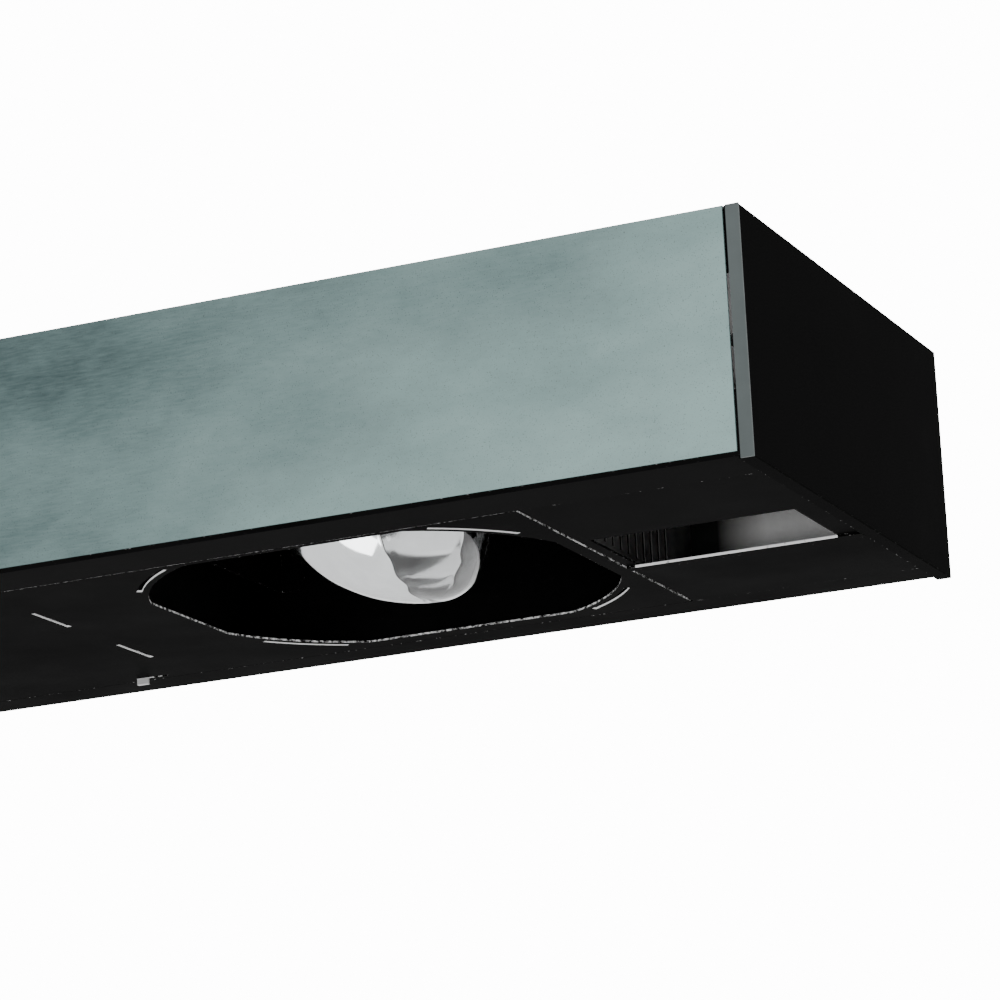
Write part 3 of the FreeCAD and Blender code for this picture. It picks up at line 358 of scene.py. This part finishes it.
def pan_paint(name):
    """Black pan whose punched vents and edges show bare metal, painted near-white as a painted highlight."""
    lamp = bpy.context.scene.warmer_lamp
    s = black_shader(name)
    walls = s.inside(z=PAN_THICKNESS)
    arcs = None
    for side in (1, -1):
        middle = side * OPENING_OUT - (lamp.left_shift if side < 0 else 0.0)
        x = s.math("SUBTRACT", s.axis("X"), middle)
        across = s.math("ADD", s.math("POWER", s.math("ABSOLUTE", x), 2.0),
                        s.math("POWER", s.math("ABSOLUTE", s.axis("Y")), 2.0))
        radius = s.math("SQRT", across)
        beyond = s.math("GREATER_THAN", radius, ARC_BAND[0])
        ring = s.math("MULTIPLY", beyond, s.math("LESS_THAN", radius, ARC_BAND[1]))
        arcs = ring if arcs is None else s.math("ADD", arcs, ring, clamp=True)
    slits = s.inside(x=SLIT_BAND[0], y=SLIT_BAND[1])
    clean = s.math("ADD", arcs, slits, clamp=True)
    ragged = s.ramp(s.noise(330.0, 6.0, rough=0.8), 0.46, 0.56, 0.0, 0.8)
    bare = s.math("MULTIPLY", walls, s.math("MAXIMUM", clean, ragged))
    # painted highlight: bare cut walls are given a near-white colour to stand for their lit edges
    overlay(s, bare, grey(0.92), 0.1, 0.5)
    return s.material


def clear_glass(name):
    """Clear blown glass with faint ripples."""
    s = Shader(name)
    ripple = s.noise(26.0, 2.0)
    smear = s.noise(90.0, 4.0)
    s.bsdf.inputs["Base Color"].default_value = (0.97, 0.985, 0.99, 1.0)
    s.bsdf.inputs["Transmission Weight"].default_value = 1.0
    s.bsdf.inputs["IOR"].default_value = 1.5
    s.put(s.bsdf.inputs["Roughness"], s.ramp(smear, 0.4, 0.8, 0.0, 0.03))
    s.bump(ripple, 0.0004, 0.25)
    return s.material


def mirror_silver(name):
    """Bright silvering with a soft haze."""
    s = Shader(name)
    haze = s.noise(70.0, 4.0)
    s.put(s.bsdf.inputs["Base Color"], s.mix(s.ramp(haze, 0.3, 0.7), grey(0.86), grey(0.95)))
    s.bsdf.inputs["Metallic"].default_value = 1.0
    s.put(s.bsdf.inputs["Roughness"], s.ramp(haze, 0.3, 0.7, 0.05, 0.11))
    return s.material


def braid(name):
    """Woven glass-fibre sleeve."""
    s = Shader(name)
    one = s.node("ShaderNodeTexWave", bands_direction="DIAGONAL")
    s.put(one.inputs["Vector"], s.place)
    one.inputs["Scale"].default_value = 420.0
    one.inputs["Distortion"].default_value = 1.5
    s.put(s.bsdf.inputs["Base Color"], s.mix(one.outputs["Fac"], (0.55, 0.52, 0.44, 1), (0.82, 0.8, 0.73, 1)))
    s.bsdf.inputs["Roughness"].default_value = 0.85
    s.bump(one.outputs["Fac"], 0.0001, 0.5)
    return s.material


# ---- mesh helpers ----------------------------------------------------------

def paint(names, material):
    """Give CAD nodes one material."""
    for name in names:
        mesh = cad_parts[name].data
        mesh.materials.clear()
        mesh.materials.append(material)


def new_piece(name, mesh, body=ROOT):
    piece = bpy.data.objects.new(name, mesh)
    bpy.context.scene.collection.objects.link(piece)
    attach(piece, body)
    return piece


def lamp_matrix(side):
    """Lamp's own +Z runs back to its screw base."""
    lamp = bpy.context.scene.warmer_lamp
    back = Vector((-side, 0, 0))
    across = Vector((0, 1, 0))
    up = across.cross(back)
    turn = Matrix((up, across, back)).transposed().to_4x4()
    x = side * lamp.centre_x - (lamp.left_shift if side < 0 else 0.0)
    return Matrix.Translation((x, 0, lamp.centre_z)) @ turn


def waist(lamp, inset, start=0.0, steps=60):
    """Points down the reflector from the widest circle to the neck."""
    knots = [(lamp.radius, 0.0)] + list(REFLECTOR)
    slopes = []
    for i, (radius, back) in enumerate(knots):
        low = knots[max(i - 1, 0)]
        high = knots[min(i + 1, len(knots) - 1)]
        slopes.append(0.0 if i == 0 else (high[0] - low[0]) / (high[1] - low[1]))
    points = []
    for step in range(steps + 1):
        back = start + (knots[-1][1] - start) * step / steps
        i = max(k for k in range(len(knots) - 1) if knots[k][1] <= back + 1e-9)
        span = knots[i + 1][1] - knots[i][1]
        t = (back - knots[i][1]) / span
        radius = ((2 * t ** 3 - 3 * t ** 2 + 1) * knots[i][0] + (t ** 3 - 2 * t ** 2 + t) * span * slopes[i]
                  + (-2 * t ** 3 + 3 * t ** 2) * knots[i + 1][0] + (t ** 3 - t ** 2) * span * slopes[i + 1])
        points.append((radius - 1.1 * inset if step else radius - inset, back))
    return points


def face(lamp, inset, steps=36):
    """Points over the domed face and round the shoulder to the widest circle."""
    reach = lamp.shoulder - 0.0075
    slope = math.asin(reach / lamp.shoulder)
    hub = lamp.radius - lamp.shoulder
    centre = (lamp.dome - lamp.shoulder) * math.cos(slope)
    points = []
    for step in range(steps + 1):
        angle = slope * step / steps
        points.append(((lamp.dome - inset) * math.sin(angle), centre - (lamp.dome - inset) * math.cos(angle)))
    for step in range(1, steps // 2 + 1):
        angle = slope + (math.pi / 2 - slope) * step / (steps // 2)
        points.append((hub + (lamp.shoulder - inset) * math.sin(angle),
                       -(lamp.shoulder - inset) * math.cos(angle)))
    return points


def spin(name, rings, segments, matrix, closed=True, edge_wave=None):
    """Turn an outline of radius and distance about the lamp's axis."""
    mesh = bpy.data.meshes.new(name)
    made = bmesh.new()
    columns = []
    for i in range(segments):
        angle = 2 * math.pi * i / segments
        column = []
        for j, (radius, back) in enumerate(rings):
            shift = edge_wave(j, angle) if edge_wave else 0.0
            column.append(made.verts.new((radius * math.cos(angle), radius * math.sin(angle), back + shift)))
        columns.append(column)
    count = len(rings)
    last = count if closed else count - 1
    for i in range(segments):
        one = columns[i]
        two = columns[(i + 1) % segments]
        for j in range(last):
            k = (j + 1) % count
            made.faces.new((one[j], two[j], two[k], one[k]))
    bmesh.ops.remove_doubles(made, verts=made.verts, dist=1e-7)
    bmesh.ops.recalc_face_normals(made, faces=made.faces)
    made.transform(matrix)
    for f in made.faces:
        f.smooth = True
    made.to_mesh(mesh)
    made.free()
    return mesh


# ---- lamps -----------------------------------------------------------------

class WARMER_OT_lamp_glass(bpy.types.Operator):
    """Build both lamps' blown glass"""
    bl_idname = "warmer.lamp_glass"
    bl_label = "Lamp Glass"

    def execute(self, context):
        lamp = context.scene.warmer_lamp
        material = clear_glass("lamp_glass_clear")
        outer = face(lamp, 0.0) + waist(lamp, 0.0)[1:]
        inner = face(lamp, lamp.wall) + waist(lamp, lamp.wall)[1:]
        outline = outer + inner[::-1]
        for word, side in SIDES.items():
            mesh = spin("lamp_bulb_" + word, outline, lamp.segments, lamp_matrix(side), closed=False)
            mesh.materials.append(material)
            piece = new_piece("lamp_bulb_" + word, mesh)
            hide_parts("lamp_glass_" + word)
        return {"FINISHED"}


class WARMER_OT_lamp_silver(bpy.types.Operator):
    """Build both lamps' silvering, with a scalloped front edge"""
    bl_idname = "warmer.lamp_silver"
    bl_label = "Lamp Silvering"

    def execute(self, context):
        lamp = context.scene.warmer_lamp
        material = mirror_silver("lamp_silvering")
        skin = lamp.wall + 0.00008
        outer = waist(lamp, skin, lamp.silver_edge)
        inner = waist(lamp, skin + 0.00025, lamp.silver_edge)
        outline = outer + inner[::-1]
        count = len(outline)

        def wave(j, angle):
            fade = max(0.0, 1.0 - min(j, count - 1 - j) / 6.0)
            ripple = abs(math.sin(9 * angle)) + 0.4 * math.sin(23 * angle)
            return lamp.silver_wave * ripple * fade

        for word, side in SIDES.items():
            mesh = spin("lamp_silver_" + word, outline, 2 * lamp.segments, lamp_matrix(side), True, wave)
            mesh.materials.append(material)
            piece = new_piece("lamp_silver_" + word, mesh)
            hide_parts("lamp_mirror_" + word)
        return {"FINISHED"}


def coil_tree(coil):
    """Geometry nodes: a helix bent along an arc, swept with a round wire."""
    tree = bpy.data.node_groups.new("filament_coil", "GeometryNodeTree")
    tree.interface.new_socket("Geometry", in_out="INPUT", socket_type="NodeSocketGeometry")
    sockets = {}
    for label, kind in (("Turns", "NodeSocketInt"), ("Coil Radius", "NodeSocketFloat"),
                        ("Wire Radius", "NodeSocketFloat"), ("Material", "NodeSocketMaterial")):
        sockets[label] = tree.interface.new_socket(label, in_out="INPUT", socket_type=kind).identifier
    tree.interface.new_socket("Geometry", in_out="OUTPUT", socket_type="NodeSocketGeometry")
    add = tree.nodes.new
    link = tree.links.new
    entry = add("NodeGroupInput")
    exit_node = add("NodeGroupOutput")

    def mathematics(operation, a, b):
        made = add("ShaderNodeMath")
        made.operation = operation
        for slot, value in zip(made.inputs, (a, b)):
            if isinstance(value, (int, float)):
                slot.default_value = value
            else:
                link(value, slot)
        return made.outputs[0]

    line = add("GeometryNodeCurvePrimitiveLine")
    line.inputs["End"].default_value = (1.0, 0.0, 0.0)
    sample = add("GeometryNodeResampleCurve")
    link(line.outputs["Curve"], sample.inputs["Curve"])
    link(mathematics("MULTIPLY", entry.outputs["Turns"], 14), sample.inputs["Count"])
    along = add("GeometryNodeSplineParameter").outputs["Factor"]
    sweep = mathematics("MULTIPLY", mathematics("MULTIPLY", along, entry.outputs["Turns"]), 2 * math.pi)
    bow = mathematics("MULTIPLY", mathematics("SUBTRACT", along, 0.5), 2.2)
    out = mathematics("MULTIPLY", mathematics("COSINE", sweep, 0), entry.outputs["Coil Radius"])
    up = mathematics("MULTIPLY", mathematics("SINE", sweep, 0), entry.outputs["Coil Radius"])
    reach = mathematics("ADD", out, 0.0165)
    x = mathematics("MULTIPLY", reach, mathematics("SINE", bow, 0))
    y = mathematics("SUBTRACT", mathematics("MULTIPLY", reach, mathematics("COSINE", bow, 0)), 0.0072)
    place = add("ShaderNodeCombineXYZ")
    link(x, place.inputs["X"])
    link(y, place.inputs["Y"])
    link(up, place.inputs["Z"])
    bend = add("GeometryNodeSetPosition")
    link(sample.outputs["Curve"], bend.inputs["Geometry"])
    link(place.outputs["Vector"], bend.inputs["Position"])
    ring = add("GeometryNodeCurvePrimitiveCircle")
    ring.inputs["Resolution"].default_value = 6
    link(entry.outputs["Wire Radius"], ring.inputs["Radius"])
    tube = add("GeometryNodeCurveToMesh")
    link(bend.outputs["Geometry"], tube.inputs["Curve"])
    link(ring.outputs["Curve"], tube.inputs["Profile Curve"])
    tube.inputs["Fill Caps"].default_value = True
    real = add("GeometryNodeRealizeInstances")
    link(tube.outputs["Mesh"], real.inputs["Geometry"])
    dress = add("GeometryNodeSetMaterial")
    link(real.outputs["Geometry"], dress.inputs["Geometry"])
    link(entry.outputs["Material"], dress.inputs["Material"])
    link(dress.outputs["Geometry"], exit_node.inputs["Geometry"])
    return tree, sockets


class WARMER_OT_filament(bpy.types.Operator):
    """Build both lamps' stems, lead wires and filament coils"""
    bl_idname = "warmer.filament"
    bl_label = "Filaments"

    def execute(self, context):
        coil = context.scene.warmer_coil
        metal = bare_metal("lamp_lead_wire", (0.55, 0.55, 0.56, 1.0), 0.3)
        tree, sockets = coil_tree(coil)
        for word, side in SIDES.items():
            seed = bpy.data.meshes.new("coil_seed")
            source = bpy.data.objects.new("coil_source", seed)
            context.scene.collection.objects.link(source)
            modifier = source.modifiers.new("coil", "NODES")
            modifier.node_group = tree
            modifier[sockets["Turns"]] = coil.turns
            modifier[sockets["Coil Radius"]] = coil.coil_radius
            modifier[sockets["Wire Radius"]] = coil.wire_radius
            modifier[sockets["Material"]] = metal
            context.view_layer.update()
            ready = source.evaluated_get(context.evaluated_depsgraph_get())
            mesh = bpy.data.meshes.new_from_object(ready)
            bpy.data.objects.remove(source)
            mesh.name = "lamp_coil_" + word
            mesh.transform(lamp_matrix(side) @ Matrix.Translation((0, 0, 0.0216)))
            coil_piece = new_piece("lamp_coil_" + word, mesh)
            self.mount(word, side, metal)
            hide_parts("lamp_mount_" + word)
        return {"FINISHED"}

    def mount(self, word, side, metal):
        """Flared glass stem and two bent lead wires."""
        stem = [(0.0, 0.060), (0.0022, 0.0602), (0.0028, 0.063), (0.0030, 0.078), (0.0045, 0.090),
                (0.0070, 0.0995), (0.0, 0.1005)]
        mesh = spin("lamp_stem_" + word, stem, 40, lamp_matrix(side), closed=False)
        mesh.materials.append(bpy.data.materials["lamp_glass_clear"])
        new_piece("lamp_stem_" + word, mesh)
        curve = bpy.data.curves.new("lead_path", "CURVE")
        curve.dimensions = "3D"
        curve.bevel_depth = 0.0005
        curve.bevel_resolution = 3
        curve.use_fill_caps = True
        for sign in (-1, 1):
            spline = curve.splines.new("POLY")
            route = [(0.0016, 0, 0.064), (0.0030, 0, 0.052), (0.0075, 0, 0.036), (0.0138, 0, 0.0236),
                     (0.0147, 0.0002, 0.0216)]
            spline.points.add(len(route) - 1)
            for point, (x, y, z) in zip(spline.points, route):
                point.co = (sign * x, y, z, 1.0)
        source = bpy.data.objects.new("lead_source", curve)
        bpy.context.scene.collection.objects.link(source)
        bpy.context.view_layer.update()
        ready = source.evaluated_get(bpy.context.evaluated_depsgraph_get())
        mesh = bpy.data.meshes.new_from_object(ready)
        bpy.data.objects.remove(source)
        mesh.transform(lamp_matrix(side))
        mesh.name = "lamp_leads_" + word
        mesh.materials.clear()
        mesh.materials.append(metal)
        new_piece("lamp_leads_" + word, mesh)


# ---- frame finishes --------------------------------------------------------

class WARMER_OT_housing(bpy.types.Operator):
    """Finish the black housing sheets and end caps"""
    bl_idname = "warmer.housing"
    bl_label = "Housing Finish"

    def execute(self, context):
        paint(["top_panel", "front_hem", "rear_panel"], shell_paint("shell_black"))
        paint(["right_end_cap", "left_end_cap"], black_paint("cap_black", 0.0018, 0.5))
        paint(["front_rail"], black_paint("rail_black", 0.0025, 0.45, 0.7))
        paint(["left_bottom_plate", "right_bottom_plate"], black_paint("plate_black", 0.002, 0.45, 0.6))
        paint(["wiring_cover"], cut_edges("cover_black", HIGHLIT_COVER_LIP))
        return {"FINISHED"}


class WARMER_OT_front(bpy.types.Operator):
    """Finish the silver front panel and corner trims"""
    bl_idname = "warmer.front"
    bl_label = "Silver Finish"

    def execute(self, context):
        paint(["front_panel"], silver_paint("panel_silver"))
        trim = bare_metal("trim_silver", (0.085, 0.102, 0.102, 1.0), 0.45, 0.55)
        paint(["right_corner_trim", "left_corner_trim"], trim)
        return {"FINISHED"}


class WARMER_OT_pan(bpy.types.Operator):
    """Finish the lamp pan and its latch"""
    bl_idname = "warmer.pan"
    bl_label = "Pan Finish"

    def execute(self, context):
        paint(["lamp_pan"], pan_paint("pan_black"))
        plated = bare_metal("latch_zinc", grey(0.80), 0.38, 0.6)
        paint(["pan_latch", "latch_guide", "latch_keeper"], plated)
        return {"FINISHED"}


class WARMER_OT_bays(bpy.types.Operator):
    """Finish the bay liners and partitions"""
    bl_idname = "warmer.bays"
    bl_label = "Bay Finish"

    def execute(self, context):
        liners = ["bay_liner_right", "bay_liner_left"]
        paint(liners, dull("liner_black", grey(0.0008), grey(0.0016), 0.75, shine=0.01))
        walls = [place + "_partition_" + word for place in ("inner", "outer") for word in SIDES]
        paint(walls, partition_paint("partition_grey"))
        return {"FINISHED"}


class WARMER_OT_sockets(bpy.types.Operator):
    """Finish the lamp bases, lampholders and straps"""
    bl_idname = "warmer.sockets"
    bl_label = "Socket Finish"

    def execute(self, context):
        brass = bare_metal("socket_brass", (0.80, 0.60, 0.28, 1.0), 0.28)
        porcelain = dull("socket_porcelain", (0.70, 0.69, 0.64, 1), (0.84, 0.83, 0.78, 1), 0.22, 300.0)
        # painted shade: the strap is given black paint to stand for the shade deep in the bay
        strap = black_paint("strap_black_painted_shade", 0.0015)
        for word in SIDES:
            paint(["lamp_base_" + word, "socket_shell_" + word], brass)
            paint(["lamp_socket_" + word], porcelain)
            paint(["socket_strap_" + word], strap)
        return {"FINISHED"}


class WARMER_OT_wiring(bpy.types.Operator):
    """Finish the control, the wiring and its fittings"""
    bl_idname = "warmer.wiring"
    bl_label = "Wiring Finish"

    def execute(self, context):
        paint(["control_knob"], dull("knob_black", grey(0.012), grey(0.020), 0.38, 700.0))
        phenolic = dull("phenolic", grey(0.02, 0.004), grey(0.035, 0.005), 0.45)
        paint(["dimmer_switch", "terminal_block"], phenolic)
        zinc = bare_metal("fitting_zinc", grey(0.62), 0.3)
        paint(["dimmer_nut", "dimmer_shaft", "mount_nuts", "end_cap_screws", "liner_rivets",
               "cover_screws", "terminal_screws"], zinc)
        paint(["ground_screw"], dull("ground_green", (0.02, 0.2, 0.05, 1), (0.03, 0.28, 0.08, 1), 0.35))
        paint(["inlet_bushing", "wire_bushings"], dull("bushing_nylon", grey(0.015), grey(0.03), 0.5))
        paint(["lamp_wires_right", "lamp_wires_left", "control_wires"], braid("wire_braid"))
        return {"FINISHED"}


# ---- stage -----------------------------------------------------------------

def area_light(name, place, target, size, energy):
    light = bpy.data.lights.new(name, "AREA")
    light.shape = "RECTANGLE"
    light.size, light.size_y = size
    light.energy = energy
    lamp = bpy.data.objects.new(name, light)
    bpy.context.scene.collection.objects.link(lamp)
    lamp.location = place
    lamp.rotation_euler = (Vector(target) - Vector(place)).to_track_quat("-Z", "Y").to_euler()


class WARMER_OT_stage(bpy.types.Operator):
    """Build the floor, the lights and the camera"""
    bl_idname = "warmer.stage"
    bl_label = "Stage"

    def execute(self, context):
        stage = context.scene.warmer_stage
        mesh = bpy.data.meshes.new("floor")
        made = bmesh.new()
        bmesh.ops.create_grid(made, x_segments=24, y_segments=24, size=9.0)
        made.to_mesh(mesh)
        made.free()
        floor = bpy.data.objects.new("floor", mesh)
        context.scene.collection.objects.link(floor)
        floor.location.z = -stage.floor_drop
        pale = Shader("floor_pale")
        cloud = pale.noise(1.2, 3.0)
        pale.put(pale.bsdf.inputs["Base Color"], pale.mix(cloud, grey(0.86), grey(0.9)))
        pale.bsdf.inputs["Roughness"].default_value = 0.9
        mesh.materials.append(pale.material)
        world = bpy.data.worlds.new("studio")
        world.use_nodes = True
        background = world.node_tree.nodes["Background"]
        background.inputs["Color"].default_value = (1.0, 1.0, 1.0, 1.0)
        seen = world.node_tree.nodes.new("ShaderNodeLightPath").outputs["Is Camera Ray"]
        strength = world.node_tree.nodes.new("ShaderNodeMapRange")
        strength.inputs["To Min"].default_value = stage.sky
        strength.inputs["To Max"].default_value = stage.backdrop
        world.node_tree.links.new(seen, strength.inputs["Value"])
        world.node_tree.links.new(strength.outputs["Result"], background.inputs["Strength"])
        context.scene.world = world
        area_light("key", (1.6, -2.6, 0.7), (0.3, -0.1, -0.06), (1.2, 1.2), 14.0)
        area_light("low_front", (0.42, -2.6, -0.86), (0.36, 0.1, -0.1), (0.9, 0.35), 16.0)
        area_light("low_left", (-0.9, -0.5, -1.2), (0.2, 0.0, -0.1), (0.6, 0.6), 5.0)
        view = bpy.data.cameras.new("camera")
        view.lens = stage.lens
        view.sensor_width = 36.0
        camera = bpy.data.objects.new("camera", view)
        context.scene.collection.objects.link(camera)
        camera.location = (1.1279, -1.9980, -0.6575)
        camera.rotation_euler = [math.radians(angle) for angle in (104.636, 2.639, 24.301)]
        context.scene.camera = camera
        return {"FINISHED"}


# ---- panel and registration ------------------------------------------------

BUILD_ORDER = ("stage", "housing", "front", "pan", "bays", "sockets", "wiring", "lamp_glass",
               "lamp_silver", "filament")


class WARMER_PT_panel(bpy.types.Panel):
    """Warmer settings and build steps"""
    bl_label = "Heat Lamp Warmer"
    bl_idname = "WARMER_PT_panel"
    bl_space_type = "VIEW_3D"
    bl_region_type = "UI"
    bl_category = "Warmer"

    def draw(self, context):
        scene = context.scene
        for group in (scene.warmer_lamp, scene.warmer_coil, scene.warmer_edges, scene.warmer_stage):
            box = self.layout.box()
            for key in group.__annotations__:
                box.prop(group, key)
        for step in BUILD_ORDER:
            self.layout.operator("warmer." + step)


SETTINGS = (("warmer_lamp", WarmerLampSettings), ("warmer_coil", WarmerCoilSettings),
            ("warmer_edges", WarmerEdgeSettings), ("warmer_stage", WarmerStageSettings))
CLASSES = (WarmerLampSettings, WarmerCoilSettings, WarmerEdgeSettings, WarmerStageSettings,
           WARMER_OT_lamp_glass, WARMER_OT_lamp_silver, WARMER_OT_filament, WARMER_OT_housing,
           WARMER_OT_front, WARMER_OT_pan, WARMER_OT_bays, WARMER_OT_sockets, WARMER_OT_wiring,
           WARMER_OT_stage, WARMER_PT_panel)


def register():
    for cls in CLASSES:
        bpy.utils.register_class(cls)
    for name, cls in SETTINGS:
        setattr(bpy.types.Scene, name, bpy.props.PointerProperty(type=cls))


def unregister():
    for name, cls in SETTINGS:
        delattr(bpy.types.Scene, name)
    for cls in reversed(CLASSES):
        bpy.utils.unregister_class(cls)


def main():
    register()
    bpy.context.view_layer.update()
    for step in BUILD_ORDER:
        getattr(bpy.ops.warmer, step)()


if __name__ == "__main__":
    main()
